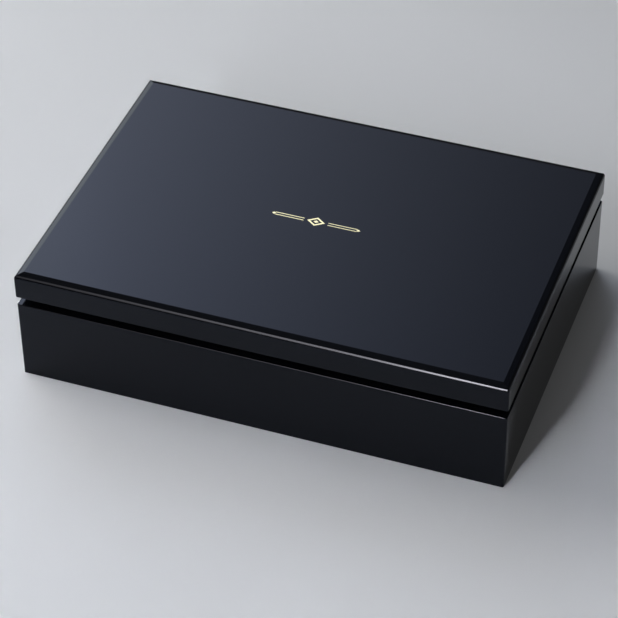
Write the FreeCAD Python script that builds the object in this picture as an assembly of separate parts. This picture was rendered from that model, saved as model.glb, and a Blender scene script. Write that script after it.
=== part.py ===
import FreeCAD, Part
import math
import os

# Pen collector box: a lacquered case with a hinged lid, a lower bed of pen grooves
# and a lift-out tray above it. Millimetres. X runs along the case, Y towards the
# hinges, Z up. The origin is under the middle of the case, on the resting face.

Vector = FreeCAD.Vector
X_AXIS = Vector(1, 0, 0)
Y_AXIS = Vector(0, 1, 0)
Z_AXIS = Vector(0, 0, 1)
SIDES = ("front", "back", "left", "right")

# Outer case
case_length = 270.0
case_width = 187.0
base_height = 48.5
reveal_height = 5.1
lid_thickness = 15.4
wall_thickness = 12.0
corner_radius = 1.0
rim_rounding = 0.6

# Moulded edge of the lid
bevel_run = 4.3
bevel_angle = 17.0
shoulder_radius = 2.5
lid_bottom_rounding = 0.45

# Bottom panel in its rebate, with the felt under it
panel_thickness = 5.0
felt_thickness = 1.2
rebate_depth = 5.0
felt_clearance = 0.3

# Liner that stands up inside the walls and locates the lid
liner_thickness = 4.0
lid_rest_gap = 0.3

# Lower tier
lower_tier_height = 22.0
ledge_thickness = 5.0
bed_length = 60.0
lower_groove_floor = 5.5
pad_thickness = 1.5

# Scalloped pen grooves
groove_radius = 13.0
ridge_radius = 5.5
groove_angle = 40.0

# Lift-out tray
tray_clearance = 0.3
tray_floor_thickness = 2.5
rail_thickness = 3.5
rail_rounding = 0.8
tray_headroom = 1.3
tray_groove_floor = 2.0

# Ribbon pulls, looped down into the finger gap of the tray
ribbon_width = 12.0
ribbon_thickness = 0.6
ribbon_bend_radius = 3.6
ribbon_top_gap = 2.0
ribbon_glued_end_gap = 0.5
ribbon_free_end_gap = 4.5

# Padded lining of the lid
lining_recess_depth = 3.0
lining_drop = 2.0
lining_side_gap = 3.0
lining_clearance = 0.3
lining_rounding = 1.6

# Butt hinges in the reveal at the back
hinge_length = 40.0
hinge_inset = 55.0
hinge_knuckles = 3
knuckle_gap = 0.3
barrel_clearance = 0.3
leaf_thickness = 0.9
leaf_setback = 0.6
leaf_knuckle_gap = 0.3
pin_radius = 0.9
pin_clearance = 0.05

# Countersunk screws of the hinges
screw_spacing = 24.0
screw_length = 8.0
screw_shank_radius = 1.0
screw_head_radius = 1.9
screw_clearance = 0.05
screw_from_leaf_edge = 3.8

# Places that follow from the sizes above
half_length = case_length / 2
half_width = case_width / 2
lid_underside = base_height + reveal_height
lid_top = lid_underside + lid_thickness
wall_inner_x = half_length - wall_thickness
wall_inner_y = half_width - wall_thickness
cavity_x = wall_inner_x - liner_thickness
cavity_y = wall_inner_y - liner_thickness
panel_top = felt_thickness + panel_thickness
liner_top = lid_underside - lid_rest_gap
tray_seat = panel_top + lower_tier_height
lining_bottom = lid_underside - lining_drop
finger_gap_y = cavity_y - bed_length
tray_x = cavity_x - tray_clearance
tray_y = cavity_y - tray_clearance
tray_floor_top = tray_seat + tray_floor_thickness
rail_top = lining_bottom - tray_headroom
tray_inner_x = tray_x - rail_thickness
tray_inner_y = tray_y - rail_thickness
tray_pad_top = tray_floor_top + pad_thickness
axis_y = half_width - reveal_height / 2
axis_z = base_height + reveal_height / 2
barrel_radius = reveal_height / 2 - barrel_clearance
leaf_front_y = wall_inner_y + leaf_setback
screw_y = leaf_front_y + screw_from_leaf_edge
hinge_x = half_length - hinge_inset

# Room past a face that a cutting or splitting solid needs
overshoot = 1.0


def block(x0, x1, y0, y1, z0, z1):
    """A box between two corners."""
    return Part.makeBox(x1 - x0, y1 - y0, z1 - z0, Vector(x0, y0, z0))


def centred_block(half_x, half_y, z0, z1):
    """A box that is centred on the case."""
    return block(-half_x, half_x, -half_y, half_y, z0, z1)


def polygon_prism(points, along):
    """A closed outline of straight edges, extruded by a vector."""
    outline = Part.makePolygon(points + [points[0]])
    return Part.Face(outline).extrude(along)


def polar(centre, radius, degrees):
    """A point of the X-Z plane at an angle from +X towards +Z."""
    turn = math.radians(degrees)
    return centre + Vector(radius * math.cos(turn), 0, radius * math.sin(turn))


def arc(centre, radius, start, end):
    """An arc of the X-Z plane between two angles in degrees."""
    middle = (start + end) / 2
    ends = (polar(centre, radius, start), polar(centre, radius, middle), polar(centre, radius, end))
    return Part.Arc(*ends).toShape()


def line(start, end):
    """A straight edge."""
    return Part.LineSegment(start, end).toShape()


def rounded_prism(half_x, half_y, z0, z1, radius):
    """A centred box with rounded vertical corners."""
    body = centred_block(half_x, half_y, z0, z1)
    uprights = [edge for edge in body.Edges if edge.tangentAt(edge.FirstParameter).cross(Z_AXIS).Length < 0.5]
    return body.makeFillet(radius, uprights)


def edges_at_height(shape, height):
    """The edges that lie wholly at one height."""
    found = []
    for edge in shape.Edges:
        box = edge.BoundBox
        if abs(box.ZMin - height) < 1e-6 and abs(box.ZMax - height) < 1e-6:
            found.append(edge)
    return found


def mitre_sector(side, half_x, half_y, depth, z0, z1):
    """The space of one side of a rectangular frame, cut off at 45 degrees at both ends."""
    near = depth + overshoot
    outer_x = half_x + overshoot
    outer_y = half_y + overshoot
    inner_x = half_x - near
    inner_y = half_y - near
    corners = {
        "front": ((-outer_x, -outer_y), (outer_x, -outer_y), (inner_x, -inner_y), (-inner_x, -inner_y)),
        "back": ((outer_x, outer_y), (-outer_x, outer_y), (-inner_x, inner_y), (inner_x, inner_y)),
        "left": ((-outer_x, outer_y), (-outer_x, -outer_y), (-inner_x, -inner_y), (-inner_x, inner_y)),
        "right": ((outer_x, -outer_y), (outer_x, outer_y), (inner_x, inner_y), (inner_x, -inner_y)),
    }
    points = [Vector(x, y, z0) for x, y in corners[side]]
    return polygon_prism(points, Vector(0, 0, z1 - z0))


def mitred_frame(ring, half_x, half_y, depth):
    """A ring of timber, parted at its mitres into its four boards."""
    box = ring.BoundBox
    low = box.ZMin - overshoot
    high = box.ZMax + overshoot
    return {side: ring.common(mitre_sector(side, half_x, half_y, depth, low, high)) for side in SIDES}


def screw_body(growth):
    """A countersunk screw with its head at Z = 0 and its shank down, grown all round by a clearance."""
    head = screw_head_radius + growth
    shank = screw_shank_radius + growth
    cone_end = screw_shank_radius - screw_head_radius
    end = -screw_length - growth
    outline = [
        Vector(0, 0, 0),
        Vector(head, 0, 0),
        Vector(shank, 0, cone_end),
        Vector(shank, 0, end),
        Vector(0, 0, end),
    ]
    face = Part.Face(Part.makePolygon(outline + [outline[0]]))
    return face.revolve(Vector(0, 0, 0), Z_AXIS, 360)


def screw_centres():
    """Where the screws stand along X, two in each hinge."""
    offset = screw_spacing / 2
    return [side * hinge_x + end * offset for side in (-1, 1) for end in (-1, 1)]


def placed_screws(template, into_lid):
    """Copies of a screw or of its hole, down into the back wall or up into the lid."""
    copies = []
    for x in screw_centres():
        copy = template.copy()
        if into_lid:
            copy.rotate(Vector(0, 0, 0), X_AXIS, 180)
            copy.translate(Vector(x, screw_y, lid_underside - leaf_thickness))
        else:
            copy.translate(Vector(x, screw_y, base_height + leaf_thickness))
        copies.append(copy)
    return Part.makeCompound(copies)


# Base case

def base_walls():
    """Four mitred walls, rebated underneath for the bottom panel."""
    outer = rounded_prism(half_length, half_width, 0, base_height, corner_radius)
    outer = outer.makeFillet(rim_rounding, edges_at_height(outer, base_height))
    hollow = centred_block(wall_inner_x, wall_inner_y, -overshoot, base_height + overshoot)
    rebate_x = wall_inner_x + rebate_depth
    rebate_y = wall_inner_y + rebate_depth
    rebate = centred_block(rebate_x, rebate_y, -overshoot, panel_top)
    ring = outer.cut(hollow).cut(rebate)
    walls = mitred_frame(ring, half_length, half_width, wall_thickness)
    walls["back"] = walls["back"].cut(placed_screws(screw_body(screw_clearance), False))
    return walls


def bottom_panel():
    """The panel that closes the case, glued up into the rebate."""
    return centred_block(wall_inner_x + rebate_depth, wall_inner_y + rebate_depth, felt_thickness, panel_top)


def base_felt():
    """The felt sheet under the panel, flush with the lower edges of the walls."""
    half_x = wall_inner_x + rebate_depth - felt_clearance
    half_y = wall_inner_y + rebate_depth - felt_clearance
    return centred_block(half_x, half_y, 0, felt_thickness)


def liners():
    """Four mitred liner boards, from the bottom panel to just under the lid."""
    ring = centred_block(wall_inner_x, wall_inner_y, panel_top, liner_top)
    ring = ring.cut(centred_block(cavity_x, cavity_y, panel_top - overshoot, liner_top + overshoot))
    return mitred_frame(ring, wall_inner_x, wall_inner_y, liner_thickness)


# Pen grooves

def scalloped_bed(half_x, y0, y1, bottom, groove_floor):
    """A bed of round-bottomed pen grooves with rounded ridges, as many as the width holds."""
    reach = groove_radius + ridge_radius
    slot_half = reach * math.sin(math.radians(groove_angle))
    slots = int(2 * half_x // (2 * slot_half))
    pitch = 2 * half_x / slots
    crest = groove_floor + reach * (1 - math.cos(math.radians(groove_angle)))
    tangent = 90 - groove_angle
    edges = []
    pen = Vector(-half_x, y0, bottom)
    for slot in range(slots):
        centre_x = -half_x + (slot + 0.5) * pitch
        left = Vector(centre_x - slot_half, y0, crest - ridge_radius)
        groove = Vector(centre_x, y0, groove_floor + groove_radius)
        right = Vector(centre_x + slot_half, y0, crest - ridge_radius)
        if slot == 0:
            edges.append(line(pen, Vector(-half_x, y0, crest)))
            pen = Vector(-half_x, y0, crest)
        edges.append(line(pen, polar(left, ridge_radius, 90)))
        edges.append(arc(left, ridge_radius, 90, tangent))
        edges.append(arc(groove, groove_radius, 180 + tangent, 360 - tangent))
        edges.append(arc(right, ridge_radius, 180 - tangent, 90))
        pen = polar(right, ridge_radius, 90)
    far_top = Vector(half_x, y0, crest)
    far_bottom = Vector(half_x, y0, bottom)
    edges.append(line(pen, far_top))
    edges.append(line(far_top, far_bottom))
    edges.append(line(far_bottom, Vector(-half_x, y0, bottom)))
    return Part.Face(Part.Wire(edges)).extrude(Vector(0, y1 - y0, 0))


# Lower tier

def lower_bed(rear):
    """The front or rear bed of the lower tier, glued to the bottom panel."""
    half_x = cavity_x - ledge_thickness
    floor = panel_top + lower_groove_floor
    y0, y1 = (finger_gap_y, cavity_y) if rear else (-cavity_y, -finger_gap_y)
    return scalloped_bed(half_x, y0, y1, panel_top, floor)


def tray_ledge(side):
    """The board at one end of the lower tier, whose top edge carries the tray."""
    inner = cavity_x - ledge_thickness
    x0, x1 = (inner, cavity_x) if side > 0 else (-cavity_x, -inner)
    return block(x0, x1, -cavity_y, cavity_y, panel_top, tray_seat)


def lower_floor_pad():
    """The covered strip on the bottom panel in the finger gap."""
    half_x = cavity_x - ledge_thickness
    return centred_block(half_x, finger_gap_y, panel_top, panel_top + pad_thickness)


# Lift-out tray

def tray_floor():
    """The thin board under the tray."""
    return centred_block(tray_x, tray_y, tray_seat, tray_floor_top)


def tray_rails():
    """Four mitred rails round the tray, rounded on top."""
    outer = centred_block(tray_x, tray_y, tray_floor_top, rail_top)
    ring = outer.cut(centred_block(tray_inner_x, tray_inner_y, tray_floor_top - overshoot, rail_top + overshoot))
    ring = ring.makeFillet(rail_rounding, edges_at_height(ring, rail_top))
    return mitred_frame(ring, tray_x, tray_y, rail_thickness)


def tray_bed(rear):
    """The front or rear bed of the tray, glued down between the rails."""
    floor = tray_floor_top + tray_groove_floor
    y0, y1 = (finger_gap_y, tray_inner_y) if rear else (-tray_inner_y, -finger_gap_y)
    return scalloped_bed(tray_inner_x, y0, y1, tray_floor_top, floor)


def tray_floor_pad():
    """The covered strip on the tray's floor in the finger gap."""
    return centred_block(tray_inner_x, finger_gap_y, tray_floor_top, tray_pad_top)


def ribbon_pull(side):
    """A ribbon glued up the inside of an end rail and turned over into the finger gap."""
    outer = ribbon_bend_radius
    inner = ribbon_bend_radius - ribbon_thickness
    centre = Vector(tray_inner_x - outer, 0, rail_top - ribbon_top_gap - outer)
    glued_end = Vector(0, 0, tray_pad_top + ribbon_glued_end_gap - centre.z)
    free_end = Vector(0, 0, tray_pad_top + ribbon_free_end_gap - centre.z)
    edges = [
        line(polar(centre, outer, 0) + glued_end, polar(centre, outer, 0)),
        arc(centre, outer, 0, 180),
        line(polar(centre, outer, 180), polar(centre, outer, 180) + free_end),
        line(polar(centre, outer, 180) + free_end, polar(centre, inner, 180) + free_end),
        line(polar(centre, inner, 180) + free_end, polar(centre, inner, 180)),
        arc(centre, inner, 180, 0),
        line(polar(centre, inner, 0), polar(centre, inner, 0) + glued_end),
        line(polar(centre, inner, 0) + glued_end, polar(centre, outer, 0) + glued_end),
    ]
    strip = Part.Face(Part.Wire(edges)).extrude(Vector(0, ribbon_width, 0))
    strip.translate(Vector(0, -ribbon_width / 2, 0))
    if side < 0:
        strip = strip.mirror(Vector(0, 0, 0), X_AXIS)
    return strip


# Lid

def moulded_section(half):
    """The lid's cross-section in the X-Z plane: rounded lower corners, soft shoulder, shallow bevel."""
    low = lid_bottom_rounding
    bevel_drop = bevel_run * math.tan(math.radians(bevel_angle))
    tangent_length = shoulder_radius * math.tan(math.radians((90 - bevel_angle) / 2))
    shoulder_z = lid_top - bevel_drop - tangent_length
    right_low = Vector(half - low, 0, lid_underside + low)
    left_low = Vector(low - half, 0, lid_underside + low)
    right_high = Vector(half - shoulder_radius, 0, shoulder_z)
    left_high = Vector(shoulder_radius - half, 0, shoulder_z)
    steep = 90 - bevel_angle
    right_flat = Vector(half - bevel_run, 0, lid_top)
    left_flat = Vector(bevel_run - half, 0, lid_top)
    edges = [
        line(polar(left_low, low, 270), polar(right_low, low, 270)),
        arc(right_low, low, -90, 0),
        line(polar(right_low, low, 0), polar(right_high, shoulder_radius, 0)),
        arc(right_high, shoulder_radius, 0, steep),
        line(polar(right_high, shoulder_radius, steep), right_flat),
        line(right_flat, left_flat),
        line(left_flat, polar(left_high, shoulder_radius, 180 - steep)),
        arc(left_high, shoulder_radius, 180 - steep, 180),
        line(polar(left_high, shoulder_radius, 180), polar(left_low, low, 180)),
        arc(left_low, low, 180, 270),
    ]
    return Part.Face(Part.Wire(edges))


def lid_panel():
    """The lid board, moulded along its length and across its width, which mitres its corners."""
    along_y = moulded_section(half_length).extrude(Vector(0, case_width + 2 * overshoot, 0))
    along_y.translate(Vector(0, -half_width - overshoot, 0))
    along_x = moulded_section(half_width).extrude(Vector(0, case_length + 2 * overshoot, 0))
    along_x.translate(Vector(0, -half_length - overshoot, 0))
    along_x.rotate(Vector(0, 0, 0), Z_AXIS, 90)
    corners = rounded_prism(half_length, half_width, lid_underside - overshoot, lid_top + overshoot, corner_radius)
    board = along_y.common(along_x).common(corners)
    recess_x = cavity_x - lining_side_gap
    recess_y = cavity_y - lining_side_gap
    recess_top = lid_underside + lining_recess_depth
    board = board.cut(centred_block(recess_x, recess_y, lid_underside - overshoot, recess_top))
    return board.cut(placed_screws(screw_body(screw_clearance), True))


def lid_lining_pad():
    """The padded panel in the lid's recess, proud of the underside, with soft lower edges."""
    half_x = cavity_x - lining_side_gap - lining_clearance
    half_y = cavity_y - lining_side_gap - lining_clearance
    pad = centred_block(half_x, half_y, lining_bottom, lid_underside + lining_recess_depth)
    return pad.makeFillet(lining_rounding, edges_at_height(pad, lining_bottom))


# Hinges

def knuckle_spans():
    """The start and end of each knuckle along one hinge, from its left end."""
    length = (hinge_length - (hinge_knuckles - 1) * knuckle_gap) / hinge_knuckles
    step = length + knuckle_gap
    return [(index * step, index * step + length) for index in range(hinge_knuckles)]


def hinge_leaf(side, on_lid):
    """One leaf of a butt hinge: a plate whose edge carries every second knuckle."""
    start_x = side * hinge_x - hinge_length / 2
    own = 1 if on_lid else 0
    plate_z = lid_underside - leaf_thickness if on_lid else base_height
    plate = block(start_x, start_x + hinge_length, leaf_front_y, axis_y, plate_z, plate_z + leaf_thickness)
    notch_y = axis_y - barrel_radius - leaf_knuckle_gap
    leaf = plate
    for index, (x0, x1) in enumerate(knuckle_spans()):
        origin = Vector(start_x + x0, axis_y, axis_z)
        if index % 2 == own:
            leaf = leaf.fuse(Part.makeCylinder(barrel_radius, x1 - x0, origin, X_AXIS))
        else:
            cut_x0 = start_x + x0 - knuckle_gap
            cut_x1 = start_x + x1 + knuckle_gap
            notch = block(cut_x0, cut_x1, notch_y, axis_y + overshoot, axis_z - reveal_height, axis_z + reveal_height)
            leaf = leaf.cut(notch)
    bore_start = Vector(start_x - overshoot, axis_y, axis_z)
    bore = Part.makeCylinder(pin_radius + pin_clearance, hinge_length + 2 * overshoot, bore_start, X_AXIS)
    leaf = leaf.cut(bore).cut(placed_screws(screw_body(screw_clearance), on_lid))
    return leaf.removeSplitter()


def hinge_pin(side):
    """The pin through all the knuckles of one hinge."""
    start = Vector(side * hinge_x - hinge_length / 2, axis_y, axis_z)
    return Part.makeCylinder(pin_radius, hinge_length, start, X_AXIS)


def hinge_screws(into_lid):
    """The four screws of one set of leaves."""
    return placed_screws(screw_body(0), into_lid)


def all_parts():
    """Every piece of the box by its node name."""
    parts = {}
    for side, wall in base_walls().items():
        parts["base_" + side + "_wall"] = wall
    parts["base_bottom_panel"] = bottom_panel()
    parts["base_felt"] = base_felt()
    for side, board in liners().items():
        parts["liner_" + side] = board
    for name, sign in (("left", -1), ("right", 1)):
        parts["tray_ledge_" + name] = tray_ledge(sign)
        parts["ribbon_pull_" + name] = ribbon_pull(sign)
        parts["hinge_" + name + "_base_leaf"] = hinge_leaf(sign, False)
        parts["hinge_" + name + "_lid_leaf"] = hinge_leaf(sign, True)
        parts["hinge_" + name + "_pin"] = hinge_pin(sign)
    parts["lower_bed_front"] = lower_bed(False)
    parts["lower_bed_rear"] = lower_bed(True)
    parts["lower_floor_pad"] = lower_floor_pad()
    parts["tray_floor"] = tray_floor()
    for side, rail in tray_rails().items():
        parts["tray_" + side + "_rail"] = rail
    parts["tray_bed_front"] = tray_bed(False)
    parts["tray_bed_rear"] = tray_bed(True)
    parts["tray_floor_pad"] = tray_floor_pad()
    parts["lid_panel"] = lid_panel()
    parts["lid_lining_pad"] = lid_lining_pad()
    parts["base_hinge_screws"] = hinge_screws(False)
    parts["lid_hinge_screws"] = hinge_screws(True)
    return parts


def write_parts():
    """Write one STEP file for each piece."""
    os.makedirs("parts", exist_ok=True)
    for name, shape in sorted(all_parts().items()):
        shape.exportStep(os.path.join("parts", name + ".step"))
        print(name, len(shape.Solids), "solid", "valid" if shape.isValid() else "NOT VALID", round(shape.Volume, 1))


write_parts()
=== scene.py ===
import math

import bmesh
import bpy
import numpy as np
from bpy.props import FloatProperty, FloatVectorProperty, PointerProperty
from bpy.types import Operator, Panel, PropertyGroup
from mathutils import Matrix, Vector


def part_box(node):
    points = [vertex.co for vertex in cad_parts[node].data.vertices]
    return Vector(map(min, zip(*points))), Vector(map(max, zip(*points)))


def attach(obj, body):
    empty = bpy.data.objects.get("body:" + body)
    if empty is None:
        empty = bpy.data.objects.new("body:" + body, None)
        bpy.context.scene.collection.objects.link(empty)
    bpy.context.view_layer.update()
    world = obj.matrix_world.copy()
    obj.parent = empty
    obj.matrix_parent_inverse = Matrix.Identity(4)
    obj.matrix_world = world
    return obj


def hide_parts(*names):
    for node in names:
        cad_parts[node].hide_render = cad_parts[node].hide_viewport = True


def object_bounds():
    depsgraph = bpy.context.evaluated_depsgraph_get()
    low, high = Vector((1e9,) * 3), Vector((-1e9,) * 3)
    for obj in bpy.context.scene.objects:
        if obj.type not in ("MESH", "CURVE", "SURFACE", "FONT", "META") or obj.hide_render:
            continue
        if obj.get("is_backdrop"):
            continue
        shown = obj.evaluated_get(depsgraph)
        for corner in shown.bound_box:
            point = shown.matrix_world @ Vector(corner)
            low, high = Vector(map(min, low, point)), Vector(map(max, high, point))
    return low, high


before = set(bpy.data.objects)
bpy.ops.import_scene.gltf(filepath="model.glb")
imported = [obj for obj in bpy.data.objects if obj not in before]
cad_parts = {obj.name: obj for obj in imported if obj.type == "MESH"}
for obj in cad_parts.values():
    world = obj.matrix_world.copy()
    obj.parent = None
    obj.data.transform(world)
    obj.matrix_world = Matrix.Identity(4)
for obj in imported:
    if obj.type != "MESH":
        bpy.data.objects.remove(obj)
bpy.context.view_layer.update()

bl_info = {
    "name": "Pen collector box",
    "version": (1, 0, 0),
    "blender": (4, 5, 0),
    "location": "3D View > Sidebar > Pen Box",
    "description": "Makes the visible surfaces and finishes of a lacquered pen box on its packed frame",
    "category": "Add Mesh",
}

SIDES = ("front", "right", "back", "left")
SIDE_ANGLES = {"front": -90.0, "right": 0.0, "back": 90.0, "left": 180.0}
BOARD_STEPS = 12  # steps round a corner of a mitred board, both halves together
LID_STEPS = 16  # steps round a corner of the lid
RUN_SUPPORT = 0.0003  # from a corner's arc to the next point of the straight run
ARC_STEPS = 8  # steps round an edge of a board's section
ARC_SUPPORT = 0.0002  # from such an edge's arc to the next point of the flat
LEAST_RADIUS = 0.00005  # smallest radius inside a board's corner
GROOVES = 9  # grooves of a bed
FLOOR_REACH = 4.0  # from the middle of the floor to its edge


def length(name, description, default):
    """A size in metres that a user may change."""
    return FloatProperty(
        name=name, description=description, default=default, min=0.0, unit="LENGTH", precision=5,
    )


def angle(name, description, degrees):
    """An angle that a user may change, given in degrees and kept in radians."""
    return FloatProperty(
        name=name, description=description, default=math.radians(degrees), unit="ROTATION",
    )


def colour(name, description, default):
    """A linear colour that a user may change."""
    return FloatVectorProperty(
        name=name, description=description, default=default, size=3, subtype="COLOR", min=0.0, max=1.0,
    )


def vector(name, description, default, subtype):
    """A place or a direction that a user may change."""
    return FloatVectorProperty(
        name=name, description=description, default=default, size=3, subtype=subtype,
    )


def share(name, description, default):
    """A plain factor from 0 to 1."""
    return FloatProperty(
        name=name, description=description, default=default, min=0.0, max=1.0, subtype="FACTOR",
    )


def strength(name, description, default):
    """The strength of a light."""
    return FloatProperty(name=name, description=description, default=default, min=0.0)


class CaseSettings(PropertyGroup):
    """Shape of the lacquered case."""
    corner_radius: length("Corner radius", "Rounding of the upright corners", 0.001)
    arris: length("Arris", "Smallest rounding of any lacquered edge", 0.00015)
    rim_rounding: length("Rim rounding", "Rounding of the rim of the base", 0.0004)
    lid_bottom_rounding: length("Lid bottom rounding", "Rounding under the lid's edge", 0.00045)
    bevel_run: length("Bevel run", "Width of the bevel round the lid's top", 0.0043)
    bevel_angle: angle("Bevel angle", "Slope of the bevel", 17.0)
    shoulder_radius: length("Shoulder radius", "Rounding below the bevel", 0.0025)
    crease_radius: length("Crease radius", "Rounding between the bevel and the flat top", 0.00025)
    foil_thickness: length("Foil thickness", "How far the foil lines stand on the lid", 0.00003)
    foil_half_length: length("Foil half length", "From the middle of the ornament to its tips", 0.025)


class InteriorSettings(PropertyGroup):
    """Shape of the beds, the pads and the ribbons."""
    groove_radius: length("Groove radius", "Hollow of a pen groove", 0.013)
    ridge_radius: length("Ridge radius", "Rounding of the ridges", 0.0055)
    groove_angle: angle("Groove angle", "Turn from a groove's floor to its side", 40.0)
    bed_rounding: length("Bed rounding", "Rounding of the covered ends of a bed", 0.0012)
    pad_rounding: length("Pad rounding", "Rounding of the covered strips", 0.0007)
    lining_rounding: length("Lining rounding", "Rounding of the lid's padded panel", 0.0016)
    seam_inset: length("Seam inset", "From the edge of the lid's panel to its pressed seam", 0.012)
    seam_depth: length("Seam depth", "Depth of the pressed seam", 0.0007)
    ribbon_thickness: length("Ribbon thickness", "Thickness of the ribbon pulls", 0.0005)


class FinishSettings(PropertyGroup):
    """Colours and gloss."""
    lacquer: colour("Lacquer", "Body colour of the gloss lacquer", (0.0017, 0.0019, 0.0026))
    lacquer_roughness: share("Lacquer roughness", "Micro roughness of the gloss lacquer", 0.11)
    satin: colour("Satin", "Body colour of the liner's satin lacquer", (0.004, 0.004, 0.0045))
    suede: colour("Suede", "Colour of the covered beds, pads and lining", (0.46, 0.36, 0.25))
    foil: colour("Foil", "Colour of the foil lines", (0.98, 0.86, 0.46))
    brass: colour("Brass", "Colour of the hinges", (0.66, 0.48, 0.25))
    ribbon: colour("Ribbon", "Colour of the ribbon pulls", (0.36, 0.25, 0.13))


class StageSettings(PropertyGroup):
    """Camera, light and floor."""
    camera_place: vector(
        "Camera place", "Where the camera stands", (0.36394, -1.00427, 0.92909), "TRANSLATION",
    )
    camera_right: vector(
        "Camera right", "Direction of the picture's right", (0.94136, 0.33730, -0.00886), "DIRECTION",
    )
    camera_up: vector(
        "Camera up", "Direction of the picture's top", (-0.21407, 0.61731, 0.75704), "DIRECTION",
    )
    lens: FloatProperty(
        name="Lens", description="Focal length in millimetres on a 36 mm sensor", default=149.21, min=1.0,
    )
    world: strength("World", "Weak light from all round", 0.03)
    underside: strength("Underside", "Light from under the floor", 0.6)
    ceiling: strength("Ceiling", "Light from overhead", 0.22)
    back_card: strength("Back card", "Tall card behind the box, mirrored in its top", 3.8)
    front_card: strength("Front card", "Card that the front shoulder mirrors", 106.0)
    front_fill: strength("Front fill", "Light of the same card on the floor", 185.0)
    left_card: strength("Left card", "Card to the left of the box", 4.2)
    front_left_card: strength("Front left card", "Card to the front left", 1.0)
    back_right_card: strength("Back right card", "Dim card to the back right", 0.15)
    floor: colour("Floor", "Colour of the floor", (0.80, 0.80, 0.79))


# Profiles and grids

def round_corners(points, radii, steps, support, closed):
    """A line with its corners rounded. An arc ends radius * tan(turn / 2) from its corner on both runs,
    and its points are the centre plus the spoke to the first end, turned evenly through the turn.
    One more point lies on each run, `support` past the arc, which keeps the runs flat when shaded."""
    points = np.asarray(points, float)
    if closed:
        corners, last, following = points, np.roll(points, 1, axis=0), np.roll(points, -1, axis=0)
    else:
        corners, last, following = points[1:-1], points[:-2], points[2:]
    before = corners - last
    after = following - corners
    before /= np.linalg.norm(before, axis=1, keepdims=True)
    after /= np.linalg.norm(after, axis=1, keepdims=True)
    crossed = before[:, 0] * after[:, 1] - before[:, 1] * after[:, 0]
    turn = np.arctan2(crossed, (before * after).sum(axis=1))
    radii = np.broadcast_to(np.asarray(radii, float), turn.shape)
    reach = radii * np.tan(np.abs(turn) / 2)
    start = corners - before * reach[:, None]
    inward = np.stack([-before[:, 1], before[:, 0]], axis=1) * np.sign(turn)[:, None]
    centre = start + inward * radii[:, None]
    spoke = -inward * radii[:, None]
    turned = turn[:, None] * np.linspace(0, 1, steps + 1)
    cosine, sine = np.cos(turned), np.sin(turned)
    arc_x = spoke[:, None, 0] * cosine - spoke[:, None, 1] * sine
    arc_y = spoke[:, None, 0] * sine + spoke[:, None, 1] * cosine
    arcs = centre[:, None, :] + np.stack([arc_x, arc_y], axis=2)
    first = (start - before * support)[:, None, :]
    final = (corners + after * (reach[:, None] + support))[:, None, :]
    line = np.concatenate([first, arcs, final], axis=1).reshape(-1, 2)
    return line if closed else np.concatenate([points[:1], line, points[-1:]])


def rectangle_path(steps, support, side=None):
    """The points round a rectangle's rounded corners, counter-clockwise, as three arrays: the signs of
    the point's corner, the spoke (cos, sin) of its angle and its shift along the run. With a side, only
    the run of that side, from the middle of one corner to the middle of the next."""
    if side is None:
        starts = np.arange(4) * 90.0 - 90.0
        degrees = starts[:, None] + np.concatenate([[0], np.linspace(0, 90, steps + 1), [90]])
        corner = np.repeat(starts[:, None] + 45.0, degrees.shape[1], axis=1)
        slide = np.zeros(degrees.shape)
        slide[:, 0] = -support
        slide[:, -1] = support
    else:
        middle = SIDE_ANGLES[side]
        half = np.linspace(0, 45, steps // 2 + 1)
        degrees = middle + np.concatenate([half - 45, [0, 0], half])
        corner = middle + np.concatenate([np.full(half.size + 1, -45.0), np.full(half.size + 1, 45.0)])
        slide = np.concatenate([np.zeros(half.size), [support, -support], np.zeros(half.size)])
    degrees, corner, slide = degrees.ravel(), np.radians(corner.ravel()), slide.ravel()
    turned = np.radians(degrees)
    signs = np.sign(np.stack([np.cos(corner), np.sin(corner)], axis=1))
    spokes = np.stack([np.cos(turned), np.sin(turned)], axis=1)
    shifts = slide[:, None] * np.stack([-np.sin(turned), np.cos(turned)], axis=1)
    return signs, spokes, shifts


def carried(outline, half, corner, least, path):
    """An outline of (inset, height) points carried round a rectangle of half sizes `half`. With
    r = max(corner - inset, least), a point is signs * (half - inset - r) + r * spoke + shift."""
    signs, spokes, shifts = path
    inset = outline[:, 0]
    radius = np.maximum(corner - inset, least)
    centre = signs[:, None, :] * (np.asarray(half)[None, :] - (inset + radius)[:, None])[None]
    flat = centre + radius[None, :, None] * spokes[:, None, :] + shifts[:, None, :]
    height = np.broadcast_to(outline[:, 1], flat.shape[:2])
    return np.concatenate([flat, height[..., None]], axis=2)


def grid_quads(rows, columns, close_rows=False, close_columns=False):
    """The four-sided faces between neighbours of a grid whose points are numbered row by row."""
    row = np.arange(rows if close_rows else rows - 1)
    column = np.arange(columns if close_columns else columns - 1)
    row, column = np.meshgrid(row, column, indexing="ij")
    down, across = (row + 1) % rows, (column + 1) % columns
    row, down = row * columns, down * columns
    return np.stack([row + column, down + column, down + across, row + across], axis=-1).reshape(-1, 4)


def end_faces(rows, columns):
    """The faces that close the first and the last row of a grid."""
    return [list(range(columns)), list(range((rows - 1) * columns, rows * columns))]


def double_skin(rows, columns):
    """The faces of two like grids, the second numbered after the first, joined round their border."""
    quads = grid_quads(rows, columns)
    numbers = np.arange(rows * columns).reshape(rows, columns)
    rim = np.concatenate([numbers[0, :-1], numbers[:-1, -1], numbers[-1, :0:-1], numbers[:0:-1, 0]])
    ring = np.roll(rim, -1)
    count = rows * columns
    walls = np.stack([rim, ring, ring + count, rim + count], axis=1)
    return np.concatenate([quads[:, ::-1], quads + count, walls]).tolist()


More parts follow.
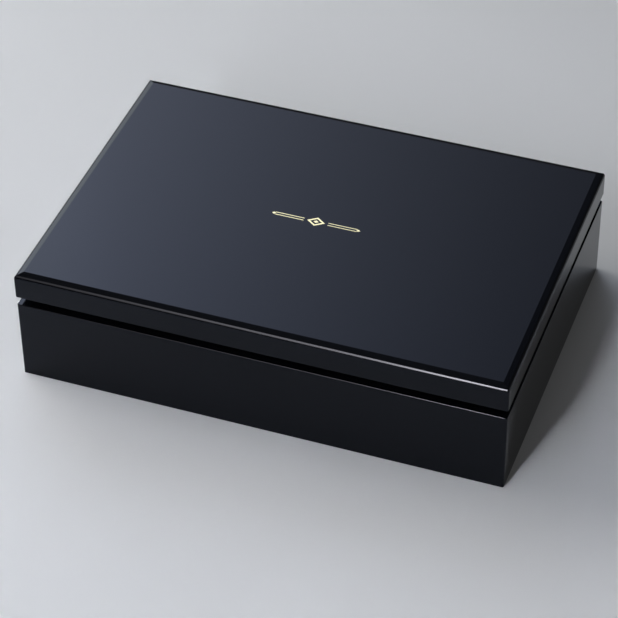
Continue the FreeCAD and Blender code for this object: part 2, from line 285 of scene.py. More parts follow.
def slab(x, y, low, high):
    """A closed body between two height fields over the same x and y lines, joined round their border."""
    across, along = np.meshgrid(x, y, indexing="ij")
    levels = [np.broadcast_to(level, across.shape) for level in (low, high)]
    points = [np.stack([across, along, level], axis=-1).reshape(-1, 3) for level in levels]
    return np.concatenate(points), double_skin(x.size, y.size)


def eased(low, high, edge, fine, coarse):
    """Lines from low to high, `fine` apart within `edge` of both ends and `coarse` apart between."""
    near = np.linspace(0, edge, max(2, int(round(edge / fine)) + 1))
    count = max(2, int(round((high - low - 2 * edge) / coarse)) + 1)
    middle = np.linspace(low + edge, high - edge, count)
    return np.concatenate([low + near[:-1], middle, (high - near[:-1])[::-1]])


def edge_roll(distance, radius):
    """How far a rounded edge lies below the face: radius - sqrt(radius^2 - (radius - distance)^2)."""
    lack = np.clip(radius - distance, 0, radius)
    return radius - np.sqrt(radius * radius - lack * lack)


# Pieces

def finish_piece(name, points, faces, materials, body, slot, nodes=(), indices=None, sharp=40.0):
    mesh = bpy.data.meshes.new(name)
    mesh.from_pydata(points.tolist(), [], faces)
    made = bmesh.new()
    made.from_mesh(mesh)
    bmesh.ops.recalc_face_normals(made, faces=made.faces)
    made.to_mesh(mesh)
    made.free()
    mesh.polygons.foreach_set("use_smooth", np.ones(len(mesh.polygons), bool))
    mesh.set_sharp_from_angle(angle=math.radians(sharp))
    for material in materials:
        mesh.materials.append(material)
    if indices is not None:
        mesh.polygons.foreach_set("material_index", np.asarray(indices, np.int32))
    mesh.update()
    piece = bpy.data.objects.new(name, mesh)
    bpy.context.scene.collection.objects.link(piece)
    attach(piece, body)
    if nodes:
        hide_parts(*nodes)
    return piece


def board(name, outline, half, corner, side, **rest):
    """A board of a mitred frame, from the closed outline of its section."""
    path = rectangle_path(BOARD_STEPS, RUN_SUPPORT, side)
    grid = carried(outline, half, corner, LEAST_RADIUS, path)
    rows, columns = grid.shape[:2]
    faces = grid_quads(rows, columns, close_columns=True).tolist() + end_faces(rows, columns)
    return finish_piece(name, grid.reshape(-1, 3), faces, **rest)


def half_sizes(node):
    """A node's half length and half width about the middle of the box, its lowest and its highest level."""
    low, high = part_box(node)
    return (max(abs(low[0]), abs(high[0])), max(abs(low[1]), abs(high[1]))), low[2], high[2]


# Materials

def add_node(tree, kind, settings=None, inputs=None):
    """A shader node with its settings and its inputs, each a value or a socket to link."""
    node = tree.nodes.new(kind)
    for key, value in (settings or {}).items():
        setattr(node, key, value)
    for key, value in (inputs or {}).items():
        if isinstance(value, bpy.types.NodeSocket):
            tree.links.new(value, node.inputs[key])
        else:
            node.inputs[key].default_value = value
    return node


def noise(tree, size, detail=2.0, stretch=(1.0, 1.0, 1.0)):
    """Noise with patches about `size` metres across, longer along an axis whose stretch is under 1."""
    inputs = {"Vector": add_node(tree, "ShaderNodeTexCoord").outputs["Object"], "Scale": stretch}
    place = add_node(tree, "ShaderNodeMapping", inputs=inputs).outputs["Vector"]
    inputs = {"Vector": place, "Scale": 1.0 / size, "Detail": detail}
    return add_node(tree, "ShaderNodeTexNoise", inputs=inputs).outputs[0]


def between(tree, value, low, high):
    """The value of a noise, spread over low to high."""
    inputs = {"Value": value, "From Min": 0.3, "From Max": 0.7, "To Min": low, "To Max": high}
    return add_node(tree, "ShaderNodeMapRange", inputs=inputs).outputs["Result"]


def mixed(tree, factor, first, second):
    """A colour between two colours."""
    inputs = {0: factor, 6: (*first, 1.0), 7: (*second, 1.0)}
    return add_node(tree, "ShaderNodeMix", {"data_type": "RGBA"}, inputs).outputs[2]


def relief(tree, height, depth, under=None):
    """A bump whose full height is `depth` metres, laid over another bump."""
    inputs = {"Height": height, "Distance": depth, "Strength": 1.0}
    if under is not None:
        inputs["Normal"] = under
    return add_node(tree, "ShaderNodeBump", inputs=inputs).outputs["Normal"]


def shaded(colour, factor):
    """A colour made lighter or darker."""
    return tuple(min(1.0, channel * factor) for channel in colour)


def new_material(name, values):
    """A material whose one Principled shader has these constant values, and its node tree."""
    material = bpy.data.materials.new(name)
    material.use_nodes = True
    for key, value in values.items():
        material.node_tree.nodes["Principled BSDF"].inputs[key].default_value = value
    return material, material.node_tree


def linked(material, outputs):
    """The material, with these outputs linked to its shader's inputs."""
    tree = material.node_tree
    for key, output in outputs.items():
        tree.links.new(output, tree.nodes["Principled BSDF"].inputs[key])
    return material


def once(make):
    """The material named like the function that makes it, made the first time it is asked for."""
    found = bpy.data.materials.get(make.__name__)
    return found if found is not None else make(make.__name__)


def gloss_lacquer(name):
    """Polished black lacquer: a clear even gloss with faint waves, and haze where it was buffed."""
    finish = bpy.context.scene.pen_box_finish
    body, rough = tuple(finish.lacquer), finish.lacquer_roughness
    material, tree = new_material(name, {"IOR": 1.30, "Specular Tint": (0.70, 0.78, 1.0, 1.0)})
    waves = relief(tree, noise(tree, 0.004, 1.0), 0.000002)
    return linked(material, {
        "Roughness": between(tree, noise(tree, 0.035, 3.0), rough * 0.85, rough * 1.2),
        "Base Color": mixed(tree, noise(tree, 0.02), shaded(body, 0.9), shaded(body, 1.15)),
        "Normal": relief(tree, noise(tree, 0.0006, 2.0), 0.00000015, waves),
    })


def satin_lacquer(name):
    """Rubbed satin lacquer on timber, with its pores just showing."""
    body = tuple(bpy.context.scene.pen_box_finish.satin)
    material, tree = new_material(name, {"IOR": 1.42})
    return linked(material, {
        "Roughness": between(tree, noise(tree, 0.006, 3.0), 0.34, 0.46),
        "Base Color": mixed(tree, noise(tree, 0.01), shaded(body, 0.8), shaded(body, 1.3)),
        "Normal": relief(tree, noise(tree, 0.0007, 3.0, (0.15, 1.0, 1.0)), 0.000012),
    })


def suede(name):
    """Suede-like cover: short fibres, and a nap brushed lighter and darker in soft patches."""
    body = tuple(bpy.context.scene.pen_box_finish.suede)
    material, tree = new_material(name, {
        "Roughness": 0.95, "Sheen Weight": 0.35, "Sheen Roughness": 0.55, "Specular IOR Level": 0.15,
    })
    nap = between(tree, noise(tree, 0.03, 4.0, (1.0, 0.45, 1.0)), 0.0, 1.0)
    patches = relief(tree, noise(tree, 0.004, 3.0), 0.00006)
    return linked(material, {
        "Base Color": mixed(tree, nap, shaded(body, 0.88), shaded(body, 1.07)),
        "Normal": relief(tree, noise(tree, 0.00045, 3.0), 0.00009, patches),
    })


def felt(name):
    """Pressed wool felt: matted fibres with a few lighter flecks."""
    material, tree = new_material(name, {
        "Roughness": 1.0, "Specular IOR Level": 0.1, "Sheen Weight": 0.2,
    })
    return linked(material, {
        "Base Color": mixed(tree, noise(tree, 0.0012, 4.0), (0.006, 0.006, 0.007), (0.03, 0.03, 0.034)),
        "Normal": relief(tree, noise(tree, 0.0012, 5.0), 0.0002),
    })


def stained_board(name):
    """Dark stained board with long grain."""
    material, tree = new_material(name, {"Roughness": 0.6})
    grain = noise(tree, 0.0025, 4.0, (0.05, 1.0, 1.0))
    return linked(material, {
        "Base Color": mixed(tree, grain, (0.008, 0.006, 0.005), (0.03, 0.022, 0.016)),
        "Normal": relief(tree, grain, 0.00004),
    })


def brushed_metal(name, body, rough):
    """Brushed metal: fine lines along X, with faint dulling."""
    material, tree = new_material(name, {"Metallic": 1.0})
    lines = noise(tree, 0.00012, 1.0, (0.012, 1.0, 1.0))
    return linked(material, {
        "Roughness": between(tree, lines, rough * 0.9, rough * 1.15),
        "Base Color": mixed(tree, noise(tree, 0.009, 2.0), shaded(body, 0.94), body),
        "Normal": relief(tree, lines, 0.0000012),
    })


def brass(name):
    """Satin brass, lightly brushed."""
    return brushed_metal(name, tuple(bpy.context.scene.pen_box_finish.brass), 0.42)


def steel(name):
    """Bright steel of the hinge pins."""
    return brushed_metal(name, (0.62, 0.62, 0.60), 0.2)


def foil(name):
    """Hot-stamped foil, a little uneven where it was pressed."""
    body = tuple(bpy.context.scene.pen_box_finish.foil)
    material, tree = new_material(name, {"Metallic": 1.0})
    return linked(material, {
        "Roughness": between(tree, noise(tree, 0.0008, 3.0), 0.16, 0.30),
        "Base Color": mixed(tree, noise(tree, 0.002), shaded(body, 0.9), body),
        "Normal": relief(tree, noise(tree, 0.0005), 0.000004),
    })


def ribbed_ribbon(name):
    """Grosgrain ribbon: fine ribs across its width, so even along Y, with a soft shine, and painted shade
    that darkens the colour in the hollows between the ribs.
    """
    body = tuple(bpy.context.scene.pen_box_finish.ribbon)
    material, tree = new_material(name, {"Roughness": 0.5, "Sheen Weight": 0.3})
    place = add_node(tree, "ShaderNodeUVMap", {"uv_map": "UVMap"}).outputs["UV"]
    settings = {"wave_type": "BANDS", "bands_direction": "Y", "wave_profile": "SIN"}
    inputs = {"Vector": place, "Scale": 500.0, "Distortion": 0.4}
    ribs_and_shade = add_node(tree, "ShaderNodeTexWave", settings, inputs).outputs[1]
    return linked(material, {
        # Painted shade: the colour falls to 0.6 of the ribbon's where the rib wave is low, in the hollows
        # of the bump.
        "Base Color": mixed(tree, ribs_and_shade, shaded(body, 0.6), shaded(body, 1.1)),
        "Normal": relief(tree, ribs_and_shade, 0.00006),
    })


def repaint(node, material):
    """A CAD node keeps its shape and gets a finish."""
    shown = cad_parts[node]
    shown.data.materials.clear()
    shown.data.materials.append(material)


# Case

class PENBOX_OT_case_walls(Operator):
    """Make the four mitred, lacquered walls of the base"""
    bl_idname = "penbox.case_walls"
    bl_label = "Case walls"

    def execute(self, context):
        case = context.scene.pen_box_case
        half, low, high = half_sizes("base_front_wall")
        half = (half[0], half_sizes("base_left_wall")[0][1])
        liner = half_sizes("liner_front")[0][1]
        thickness = half[1] - liner
        felt_inset = half[1] - half_sizes("base_bottom_panel")[0][1]
        panel_top = half_sizes("base_bottom_panel")[2]
        corners = [
            (0, low), (0, high), (thickness, high),
            (thickness, panel_top), (felt_inset, panel_top), (felt_inset, low),
        ]
        radii = [2 * case.arris, case.rim_rounding, case.rim_rounding, case.arris, case.arris, case.arris]
        outline = round_corners(corners, radii, ARC_STEPS, ARC_SUPPORT, True)
        for side in SIDES:
            name = "base_" + side + "_wall"
            board(
                name + "_lacquered", outline, half, case.corner_radius, side,
                materials=[once(gloss_lacquer)], body="base", slot="black_lacquer", nodes=[name],
            )
        return {"FINISHED"}


class PENBOX_OT_lid_board(Operator):
    """Make the moulded, lacquered lid and its foil lines"""
    bl_idname = "penbox.lid_board"
    bl_label = "Lid board"

    def execute(self, context):
        case = context.scene.pen_box_case
        half, low, high = half_sizes("lid_panel")
        top = high - case.foil_thickness
        lining_half, _, recess_top = half_sizes("lid_lining_pad")
        lining_play, inner_run, moulding_steps = 0.0003, 0.006, 10
        recess = half[1] - lining_half[1] - lining_play
        shoulder = top - case.bevel_run * math.tan(case.bevel_angle)
        corners = [
            (recess + inner_run, recess_top), (recess, recess_top), (recess, low), (0, low),
            (0, shoulder), (case.bevel_run, top), (case.bevel_run + inner_run, top),
        ]
        radii = [
            case.arris, case.arris, case.lid_bottom_rounding, case.shoulder_radius, case.crease_radius,
        ]
        outline = round_corners(corners, radii, moulding_steps, ARC_SUPPORT / 2, False)
        path = rectangle_path(LID_STEPS, RUN_SUPPORT)
        grid = carried(outline, half, case.corner_radius, case.arris, path)
        rows, columns = grid.shape[:2]
        quads = grid_quads(rows, columns, close_rows=True)
        inner = np.arange(rows) * columns
        faces = quads.tolist() + [inner.tolist(), (inner + columns - 1).tolist()]
        finish_piece(
            "lid_panel_lacquered", grid.reshape(-1, 3), faces,
            [once(gloss_lacquer)], "lid", "black_lacquer", ["lid_panel"],
        )
        self.foil_lines(case, top, high)
        return {"FINISHED"}

    def foil_lines(self, case, low, high):
        """A lozenge outline between two pairs of rules, each a thin plate with straight sides."""
        reach = case.foil_half_length
        diamond = np.array([(1, 0), (0, 1), (-1, 0), (0, -1)])
        lozenge, hole, core = diamond * (0.0050, 0.0036), 0.68, 0.30
        tip, half_line = (0.0011, 0.0009), 0.00022
        rule_start, rule_end, rule_offset = 0.0068, 0.93 * reach, 0.0009
        plates = [lozenge * core]
        for sign in (-1, 1):
            near, far = sorted((sign * rule_start, sign * rule_end))
            for offset in (rule_offset, -rule_offset):
                under, over = offset - half_line, offset + half_line
                plates.append(np.array([(near, under), (far, under), (far, over), (near, over)]))
            plates.append(diamond * tip + (sign * (reach - tip[0]), 0))
        points = [
            (x, y, level)
            for scale, level in ((1.0, low), (hole, low), (hole, high), (1.0, high))
            for x, y in lozenge * scale
        ]
        faces = grid_quads(4, 4, True, True).tolist()
        for plate in plates:
            start = len(points)
            points += [(x, y, level) for level in (low, high) for x, y in plate]
            plate_faces = grid_quads(2, 4, False, True).tolist() + end_faces(2, 4)
            faces += [[start + corner for corner in face] for face in plate_faces]
        finish_piece(
            "lid_foil_lines", np.array(points), faces, [once(foil)], "lid", None, sharp=20.0,
        )


class PENBOX_OT_lid_lining(Operator):
    """Make the padded lining of the lid"""
    bl_idname = "penbox.lid_lining"
    bl_label = "Lid lining"

    def execute(self, context):
        interior = context.scene.pen_box_interior
        half, low, high = half_sizes("lid_lining_pad")
        seam_width, swell_height, swell_reach, most_roll = 0.0009, 0.00025, 0.006, 0.0025
        edge, fine, coarse = interior.seam_inset + 0.004, 0.0004, 0.0035
        x = eased(-half[0], half[0], edge, fine, coarse)
        y = eased(-half[1], half[1], edge, fine, coarse)
        across, along = np.meshgrid(half[0] - np.abs(x), half[1] - np.abs(y), indexing="ij")
        nearest = np.minimum(across, along)
        roll = edge_roll(across, interior.lining_rounding) + edge_roll(along, interior.lining_rounding)
        seam = interior.seam_depth * np.exp(-((nearest - interior.seam_inset) / seam_width) ** 2)
        swell = swell_height * np.exp(-nearest / swell_reach)
        under = low + np.minimum(roll, most_roll) + seam + swell
        pad = finish_piece(
            "lid_lining_suede", *slab(x, y, under, high),
            [once(suede)], "lid", "lining_suede", ["lid_lining_pad"], sharp=60.0,
        )
        return {"FINISHED"}


class PENBOX_OT_liners(Operator):
    """Make the liner boards, black outside and covered inside, and cover the ledges for the tray"""
    bl_idname = "penbox.liners"
    bl_label = "Liners and ledges"

    def execute(self, context):
        case = context.scene.pen_box_case
        half, low, high = half_sizes("liner_front")
        half = (half[0], half_sizes("liner_left")[0][1])
        thickness = half[0] - half_sizes("tray_ledge_left")[0][0]
        corners = [(0, low), (0, high), (thickness, high), (thickness, low)]
        radii = [case.arris, case.rim_rounding, case.rim_rounding, case.arris]
        steps = 6
        outline = round_corners(corners, radii, steps, ARC_SUPPORT, True)
        per_corner = steps + 3
        covered = np.zeros(outline.shape[0], int)
        covered[3 * per_corner - 2:4 * per_corner] = 1
        rows = BOARD_STEPS + 4
        indices = np.concatenate([np.tile(covered, rows - 1), [0, 0]])
        materials = [once(satin_lacquer), once(suede)]
        for side in SIDES:
            board(
                "liner_" + side + "_covered", outline, half, 0.0, side, materials=materials,
                body="base", slot="liner_lacquer", nodes=["liner_" + side], indices=indices,
            )
        for side in ("left", "right"):
            repaint("tray_ledge_" + side, materials[1])
        return {"FINISHED"}


class PENBOX_OT_pen_beds(Operator):
    """Make the four beds of pen grooves and the covered strips between them"""
    bl_idname = "penbox.pen_beds"
    bl_label = "Pen beds"

    def execute(self, context):
        interior = context.scene.pen_box_interior
        for tier in ("lower", "tray"):
            for end in ("front", "rear"):
                self.bed(interior, tier + "_bed_" + end)
            self.strip(interior, tier + "_floor_pad")
        return {"FINISHED"}

    def bed(self, interior, node):
        """The height over x is the groove's arc, the ridge's arc and a flat between; over y the ends
        roll down by a quarter round. The columns of x are closed underneath."""
        low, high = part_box(node)
        across_groove, between_ends = 40, 12
        x = np.linspace(low[0], high[0], GROOVES * across_groove + 1)
        turn = interior.groove_angle
        whole = interior.groove_radius + interior.ridge_radius
        reach = whole * math.sin(turn)
        crest = high[2]
        floor = crest - whole * (1 - math.cos(turn))
        pitch = (high[0] - low[0]) / int((high[0] - low[0]) // (2 * reach))
        away = np.abs((x - low[0]) % pitch - pitch / 2)
        fall = np.sqrt(np.maximum(interior.groove_radius ** 2 - away ** 2, 0))
        bowl = floor + interior.groove_radius - fall
        rise = np.sqrt(np.maximum(interior.ridge_radius ** 2 - (reach - away) ** 2, 0))
        ridge = crest - interior.ridge_radius + rise
        side = np.where(away < reach, ridge, crest)
        top = np.where(away < interior.groove_radius * math.sin(turn), bowl, side)
        radius = interior.bed_rounding
        quarter = np.radians(np.linspace(0, 90, 9))
        near, drop = radius * (1 - np.cos(quarter)), radius * (1 - np.sin(quarter))
        middle = np.linspace(low[1] + 2 * radius, high[1] - 2 * radius, between_ends)
        y = np.concatenate([[low[1]], low[1] + near, middle, (high[1] - near)[::-1], [high[1]]])
        drops = np.concatenate([[0], drop, np.zeros(between_ends), drop[::-1], [0]])
        height = top[:, None] - drops[None, :]
        height[:, [0, -1]] = low[2]
        across, along = np.meshgrid(x, y, indexing="ij")
        points = np.stack([across, along, height], axis=-1).reshape(-1, 3)
        faces = grid_quads(x.size, y.size, close_columns=True).tolist() + end_faces(x.size, y.size)
        finish_piece(
            node + "_suede", points, faces, [once(suede)], "base", "groove_suede", [node], sharp=60.0,
        )

    def strip(self, interior, node):
        """A flat covered strip whose two long edges are rolled down."""
        low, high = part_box(node)
        radius = interior.pad_rounding
        x = np.linspace(low[0], high[0], 60)
        y = eased(low[1], high[1], 2 * radius, radius / 6, 0.003)
        from_edge = np.minimum(y - low[1], high[1] - y)
        top = high[2] - edge_roll(from_edge, radius)[None, :]
        pad = finish_piece(
            node + "_suede", *slab(x, y, low[2], top),
            [once(suede)], "base", "groove_suede", [node], sharp=60.0,
        )


class PENBOX_OT_tray(Operator):
    """Make the rails of the lift-out tray and finish its floor"""
    bl_idname = "penbox.tray"
    bl_label = "Tray"

    def execute(self, context):
        case = context.scene.pen_box_case
        half, low, high = half_sizes("tray_front_rail")
        half = (half[0], half_sizes("tray_left_rail")[0][1])
        thickness = half[0] - half_sizes("tray_bed_front")[0][0]
        corners = [(0, low), (0, high), (thickness, high), (thickness, low)]
        rail_rounding = 0.0008
        radii = [case.arris, rail_rounding, rail_rounding, case.arris]
        outline = round_corners(corners, radii, ARC_STEPS, ARC_SUPPORT, True)
        for side in SIDES:
            name = "tray_" + side + "_rail"
            board(
                name + "_lacquered", outline, half, 0.0, side,
                materials=[once(satin_lacquer)], body="base", slot="tray_lacquer", nodes=[name],
            )
        repaint("tray_floor", once(stained_board))
        return {"FINISHED"}


class PENBOX_OT_ribbon_pulls(Operator):
    """Make the two ribbon pulls of the tray"""
    bl_idname = "penbox.ribbon_pulls"
    bl_label = "Ribbon pulls"

    def execute(self, context):
        thick = context.scene.pen_box_interior.ribbon_thickness
        for side, sign in (("left", -1.0), ("right", 1.0)):
            self.ribbon(thick, side, sign)
        return {"FINISHED"}

    def ribbon(self, thick, side, sign):
        """A flat strip along a line up the rail, over a half round and down, with its two faces half a
        thickness off the line along its normal. The free end leans by `lean` and stays `gap` above the
        foot of the other."""
        lean, gap, straight_points = 0.0004, 0.0040, 8
        node = "ribbon_pull_" + side
        low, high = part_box(node)
        rail = max(abs(low[0]), abs(high[0]))
        free = min(abs(low[0]), abs(high[0]))
        centre, radius = (rail + free) / 2, (rail - free) / 2 - thick / 2
        turned = np.radians(np.linspace(0, 180, 25))
        top = high[2] - radius - thick / 2
        arc = np.stack([centre + radius * np.cos(turned), top + radius * np.sin(turned)], axis=1)
        rise = np.linspace(low[2], top - lean, straight_points)
        up = np.stack([np.full(straight_points, centre + radius), rise], axis=1)
        fall = np.linspace(0, 1, straight_points)[1:]
        hang = (top - low[2] - lean - gap) * fall
        down = np.stack([centre - radius + lean * fall ** 2, top - lean - hang], axis=1)
        line = np.concatenate([up, arc, down])
        along = np.gradient(line, axis=0)
        along /= np.linalg.norm(along, axis=1, keepdims=True)
        normal = np.stack([-along[:, 1], along[:, 0]], axis=1)
        walked = np.concatenate([[0], np.cumsum(np.linalg.norm(np.diff(line, axis=0), axis=1))])
        width = np.linspace(low[1], high[1], 13)
        skins = []
        for offset in (-thick / 2, thick / 2):
            flat = line + normal * offset
            skin = np.empty((line.shape[0], width.size, 3))
            skin[..., 0] = sign * flat[:, None, 0]
            skin[..., 1] = width[None, :]
            skin[..., 2] = flat[:, None, 1]
            skins.append(skin.reshape(-1, 3))
        piece = finish_piece(
            node + "_grosgrain", np.concatenate(skins), double_skin(line.shape[0], width.size),
            [once(ribbed_ribbon)], "base", "ribbon", [node], sharp=50.0,
        )
        run, over = np.meshgrid(walked, width - low[1], indexing="ij")
        place = np.tile(np.stack([over, run], axis=-1).reshape(-1, 2), (2, 1))
        corner = np.empty(len(piece.data.loops), np.int32)
        piece.data.loops.foreach_get("vertex_index", corner)
        piece.data.uv_layers.new(name="UVMap").data.foreach_set("uv", place[corner].ravel())
        flat = (high[1] - low[1], float(walked[-1]))


class PENBOX_OT_underside(Operator):
    """Finish the bottom panel and make the felt under it"""
    bl_idname = "penbox.underside"
    bl_label = "Underside"

    def execute(self, context):
        repaint("base_bottom_panel", once(stained_board))
        half, low, high = half_sizes("base_felt")
        rounding, fine, coarse = 0.0004, 0.0001, 0.004
        x = eased(-half[0], half[0], 2 * rounding, fine, coarse)
        y = eased(-half[1], half[1], 2 * rounding, fine, coarse)
        across, along = np.meshgrid(half[0] - np.abs(x), half[1] - np.abs(y), indexing="ij")
        roll = edge_roll(across, rounding) + edge_roll(along, rounding)
        sheet = finish_piece(
            "base_felt_sheet", *slab(x, y, low + roll, high),
            [once(felt)], "base", "felt", ["base_felt"], sharp=60.0,
        )
        return {"FINISHED"}


class PENBOX_OT_hinges(Operator):
    """Finish the hinges and make their screws"""
    bl_idname = "penbox.hinges"
    bl_label = "Hinges"

    def execute(self, context):
        for side in ("left", "right"):
            for body in ("base", "lid"):
                repaint("hinge_" + side + "_" + body + "_leaf", once(brass))
            repaint("hinge_" + side + "_pin", once(steel))
        self.screws("base_hinge_screws", "base", 1.0)
        self.screws("lid_hinge_screws", "lid", -1.0)
        return {"FINISHED"}

    def screws(self, node, body, up):
        """Screws turned about their axes: a profile of (radius, depth) points round 64 angles, with the
        face of the head sunk where a cross of two bars lies: |x| or |y| under half a bar's width."""
        low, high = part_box(node)
        head, shank, point, centre = 0.0019, 0.001, 0.0005, 0.00004
        half_bar, bar_reach, cross_depth, soft_edge = 0.00026, 0.00115, 0.0006, 0.0001
        face_rings, turns = 18, 64
        face = high[2] if up > 0 else low[2]
        full = high[2] - low[2]
        profile = [(ring, 0.0) for ring in np.linspace(centre, head - soft_edge, face_rings)] + [
            (head, 0.00008), (head - 0.00085, 0.0009), (shank, 0.001),
            (shank, full - 0.002), (point, full - 0.0008), (centre, full),
        ]
        radius, depth = np.array(profile).T
        turned = np.radians(np.arange(turns) * 360 / turns)
        x = radius[:, None] * np.cos(turned)
        y = radius[:, None] * np.sin(turned)
        in_bar = np.clip((half_bar - np.minimum(np.abs(x), np.abs(y))) / soft_edge, 0, 1)
        in_reach = np.clip((bar_reach - radius[:, None]) / (3 * soft_edge), 0, 1)
        on_face = np.arange(radius.size)[:, None] < face_rings
        sunk = np.where(on_face, cross_depth * in_bar * in_reach, 0)
        z = face - up * (depth[:, None] + sunk)
        rows, columns = x.shape
        grid = np.stack([x, y, z], axis=-1).reshape(-1, 3)
        screw = grid_quads(rows, columns, close_columns=True).tolist() + end_faces(rows, columns)
        middle = (low[1] + high[1]) / 2
        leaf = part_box("hinge_right_base_leaf")
        hinge = (leaf[0][0] + leaf[1][0]) / 2
        spacing = high[0] - head - hinge
        places = [sign * hinge + end * spacing for sign in (-1, 1) for end in (-1, 1)]
        points = np.concatenate([grid + (place, middle, 0) for place in places])
        starts = range(0, len(points), len(grid))
        faces = [[start + corner for corner in quad] for start in starts for quad in screw]
        finish_piece(
            node + "_cross_head", points, faces, [once(brass)], body, "screw_brass", [node], sharp=30.0,
        )


# Stage

EVEN = ((0.0, 1.0), (1.0, 1.0))


def ramp_along(tree, value, stops, tint):
    """A smooth run of tinted levels through the stops, each a place from 0 to 1 and a level."""
    ramp = add_node(tree, "ShaderNodeValToRGB", inputs={"Fac": value})
    ramp.color_ramp.interpolation = "B_SPLINE"
    elements = ramp.color_ramp.elements
    while len(elements) < len(stops):
        elements.new(0.5)
    for element, (where, level) in zip(elements, stops):
        element.position = where
        element.color = (level * tint[0], level * tint[1], level * tint[2], 1.0)
    return ramp.outputs["Color"]


def light_card(name, corners, power, stops=EVEN, rise=EVEN, tint=(1.0, 1.0, 1.0)):
    """A card that gives light, unseen by the camera, between four corners: the two ends of its lower
    edge, then the two ends of its upper edge, back again. Its power goes along the lower edge through
    the stops, times the stops up its rise. A level times a channel of the tint over 1 is cut to 1."""
    material = bpy.data.materials.new(name)
    material.use_nodes = True
    tree = material.node_tree
    tree.nodes.clear()
    place = add_node(tree, "ShaderNodeUVMap", {"uv_map": "UVMap"})
    parts = add_node(tree, "ShaderNodeSeparateXYZ", inputs={"Vector": place.outputs["UV"]})
    along = ramp_along(tree, parts.outputs["X"], stops, tint)
    up = ramp_along(tree, parts.outputs["Y"], rise, (1.0, 1.0, 1.0))
    both = add_node(tree, "ShaderNodeVectorMath", {"operation": "MULTIPLY"}, {0: along, 1: up})
    inputs = {"Color": both.outputs["Vector"], "Strength": power}
    glow = add_node(tree, "ShaderNodeEmission", inputs=inputs)
    add_node(tree, "ShaderNodeOutputMaterial", inputs={"Surface": glow.outputs["Emission"]})
    mesh = bpy.data.meshes.new(name)
    mesh.from_pydata(corners, [], [[0, 1, 2, 3]])
    mesh.uv_layers.new(name="UVMap").data.foreach_set("uv", [0, 0, 1, 0, 1, 1, 0, 1])
    mesh.materials.append(material)
    card = bpy.data.objects.new(name, mesh)
    card.visible_camera = False
    bpy.context.scene.collection.objects.link(card)
    card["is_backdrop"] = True
    return card


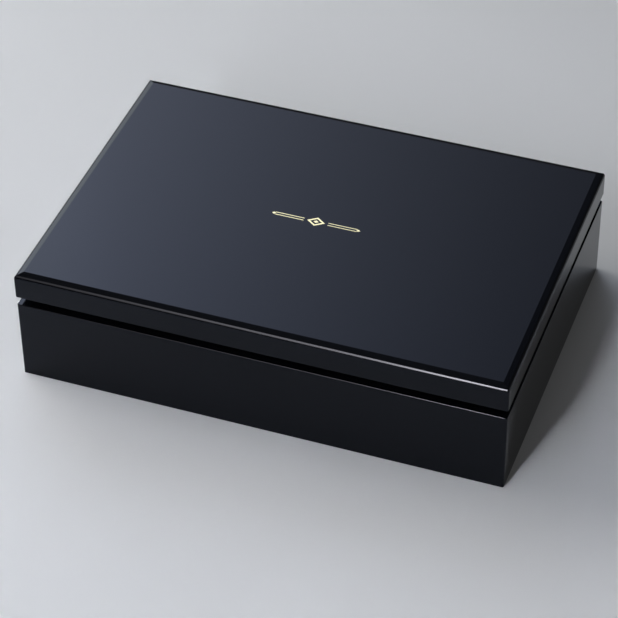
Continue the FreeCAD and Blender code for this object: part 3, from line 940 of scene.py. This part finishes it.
class PENBOX_OT_stage(Operator):
    """Make the floor, the light and the camera"""
    bl_idname = "penbox.stage"
    bl_label = "Stage"

    def execute(self, context):
        stage = context.scene.pen_box_stage
        self.floor(stage)
        self.world(context, stage)
        light_card(
            "back_card", [(-2.0, 1.5, 0.45), (1.0, 1.5, 0.45), (1.0, 1.5, 2.25), (-2.0, 1.5, 2.25)],
            stage.back_card,
            (
                (0.0, 0.9), (0.103, 1.0), (0.243, 1.0), (0.35, 0.93), (0.387, 0.66), (0.453, 0.465),
                (0.52, 0.305), (0.587, 0.178), (0.667, 0.10), (0.767, 0.052), (0.867, 0.035), (1.0, 0.03),
            ),
            (
                (0.0, 0.35), (0.12, 0.6), (0.25, 0.85), (0.42, 1.03), (0.55, 1.0), (0.62, 0.95),
                (1.0, 0.9),
            ),
            (0.866, 0.941, 1.143),
        )
        for name, power, tint, unseen in (
            ("front_card", stage.front_card, (1.22, 1.09, 0.95), "visible_diffuse"),
            ("front_fill", stage.front_fill, (0.94, 0.98, 1.09), "visible_glossy"),
        ):
            card = light_card(
                name,
                [(-0.95, -1.6, 1.10), (-0.17, -1.6, 0.36), (-0.17, -1.5, 1.42), (-0.95, -0.5, 2.40)],
                power,
                (
                    (0.0, 0.0125), (0.28, 0.0425), (0.40, 0.0575), (0.52, 0.08), (0.63, 0.11),
                    (0.72, 0.155), (0.80, 0.22), (0.86, 0.36), (0.93, 0.70), (1.0, 0.80),
                ),
                ((0.0, 0.35), (0.35, 0.6), (0.7, 1.0), (1.0, 1.0)), tint,
            )
            setattr(card, unseen, False)
        light_card(
            "left_card", [(-1.5, -0.3, 0.80), (-1.5, 0.9, 0.80), (-1.2, 0.9, 1.60), (-1.2, -0.3, 1.60)],
            stage.left_card,
        )
        light_card(
            "front_left_card",
            [(-1.6, -0.5, 0.5), (-1.1, -1.1, 0.5), (-1.1, -1.1, 1.3), (-1.6, -0.5, 1.3)],
            stage.front_left_card, tint=(0.97, 0.98, 1.05),
        )
        light_card(
            "back_right_card", [(0.9, 1.7, 0.0), (1.9, 0.9, 0.0), (1.9, 0.9, 1.2), (0.9, 1.7, 1.2)],
            stage.back_right_card, rise=((0.0, 0.8), (0.5, 1.0), (1.0, 0.2)),
        )
        self.camera(context, stage)
        context.scene.view_settings.view_transform = "Standard"
        return {"FINISHED"}

    def floor(self, stage):
        """A wide pale floor round the box, very slightly uneven in tone. It is open under the box, inside
        the outline of the walls, so that light from below reaches the underside in a view from there."""
        material, tree = new_material("floor", {"Roughness": 0.9, "Specular IOR Level": 0.2})
        body = tuple(stage.floor)
        linked(material, {"Base Color": mixed(tree, noise(tree, 0.4), shaded(body, 0.985), body)})
        mesh = bpy.data.meshes.new("floor")
        inset = 0.003
        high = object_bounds()[1]
        signs = np.array([(-1.0, -1.0), (1.0, -1.0), (1.0, 1.0), (-1.0, 1.0)])
        opening = signs * (high[0] - inset, high[1] - inset)
        points = np.concatenate([signs * FLOOR_REACH, opening])
        points = np.column_stack([points, np.zeros(8)])
        mesh.from_pydata(points.tolist(), [], [[0, 1, 5, 4], [1, 2, 6, 5], [2, 3, 7, 6], [3, 0, 4, 7]])
        mesh.materials.append(material)
        ground = bpy.data.objects.new("floor", mesh)
        bpy.context.scene.collection.objects.link(ground)
        ground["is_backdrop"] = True

    def world(self, context, stage):
        """Weak light from all round, stronger from overhead, and from below, where the floor hides it
        unless the view goes under the floor."""
        world = bpy.data.worlds.new("studio")
        world.use_nodes = True
        tree = world.node_tree
        background = tree.nodes["Background"]
        background.inputs["Color"].default_value = (1.0, 1.0, 1.0, 1.0)
        place = add_node(tree, "ShaderNodeTexCoord")
        parts = add_node(tree, "ShaderNodeSeparateXYZ", inputs={"Vector": place.outputs["Generated"]})
        levels = []
        for smooth, start, end, first, last in (
            ("SMOOTHSTEP", 0.80, 0.95, stage.world, stage.ceiling),
            ("LINEAR", -0.3, -0.1, stage.underside, 0.0),
        ):
            inputs = {
                "Value": parts.outputs["Z"], "From Min": start, "From Max": end,
                "To Min": first, "To Max": last,
            }
            level = add_node(tree, "ShaderNodeMapRange", {"interpolation_type": smooth}, inputs)
            levels.append(level.outputs["Result"])
        both = add_node(tree, "ShaderNodeMath", {"operation": "MAXIMUM"}, {0: levels[0], 1: levels[1]})
        tree.links.new(both.outputs["Value"], background.inputs["Strength"])
        context.scene.world = world

    def camera(self, context, stage):
        """The photograph's camera, from its place, its right-hand side and its top."""
        lens = bpy.data.cameras.new("camera")
        lens.lens = stage.lens
        lens.sensor_width = 36.0
        lens.clip_start = 0.01
        camera = bpy.data.objects.new("camera", lens)
        right = Vector(stage.camera_right).normalized()
        back = right.cross(Vector(stage.camera_up)).normalized()
        up = back.cross(right)
        matrix = camera.matrix_world.copy()
        for row in range(3):
            matrix[row][0:3] = right[row], up[row], back[row]
            matrix[row][3] = stage.camera_place[row]
        camera.matrix_world = matrix
        context.scene.collection.objects.link(camera)
        context.scene.camera = camera


OPERATORS = (
    PENBOX_OT_case_walls,
    PENBOX_OT_lid_board,
    PENBOX_OT_lid_lining,
    PENBOX_OT_liners,
    PENBOX_OT_pen_beds,
    PENBOX_OT_tray,
    PENBOX_OT_ribbon_pulls,
    PENBOX_OT_underside,
    PENBOX_OT_hinges,
    PENBOX_OT_stage,
)
SETTINGS = (
    ("pen_box_case", CaseSettings),
    ("pen_box_interior", InteriorSettings),
    ("pen_box_finish", FinishSettings),
    ("pen_box_stage", StageSettings),
)


class PENBOX_PT_panel(Panel):
    """The steps that make the pen box, and their settings"""
    bl_label = "Pen Box"
    bl_idname = "PENBOX_PT_panel"
    bl_space_type = "VIEW_3D"
    bl_region_type = "UI"
    bl_category = "Pen Box"

    def draw(self, context):
        for operator in OPERATORS:
            self.layout.operator(operator.bl_idname)
        for name, group in SETTINGS:
            settings = getattr(context.scene, name)
            box = self.layout.box()
            for key in group.__annotations__:
                box.prop(settings, key)


def register():
    """Register the classes and hang the settings on the scene."""
    for kind in (*(group for _, group in SETTINGS), *OPERATORS, PENBOX_PT_panel):
        bpy.utils.register_class(kind)
    for name, group in SETTINGS:
        setattr(bpy.types.Scene, name, PointerProperty(type=group))


def unregister():
    """Take the settings off the scene and the classes away."""
    for name, _ in SETTINGS:
        delattr(bpy.types.Scene, name)
    for kind in (PENBOX_PT_panel, *reversed(OPERATORS), *(group for _, group in reversed(SETTINGS))):
        bpy.utils.unregister_class(kind)


def main():
    """Make every piece and the stage."""
    register()
    bpy.ops.penbox.case_walls()
    bpy.ops.penbox.lid_board()
    bpy.ops.penbox.lid_lining()
    bpy.ops.penbox.liners()
    bpy.ops.penbox.pen_beds()
    bpy.ops.penbox.tray()
    bpy.ops.penbox.ribbon_pulls()
    bpy.ops.penbox.underside()
    bpy.ops.penbox.hinges()
    bpy.ops.penbox.stage()


if __name__ == "__main__":
    main()
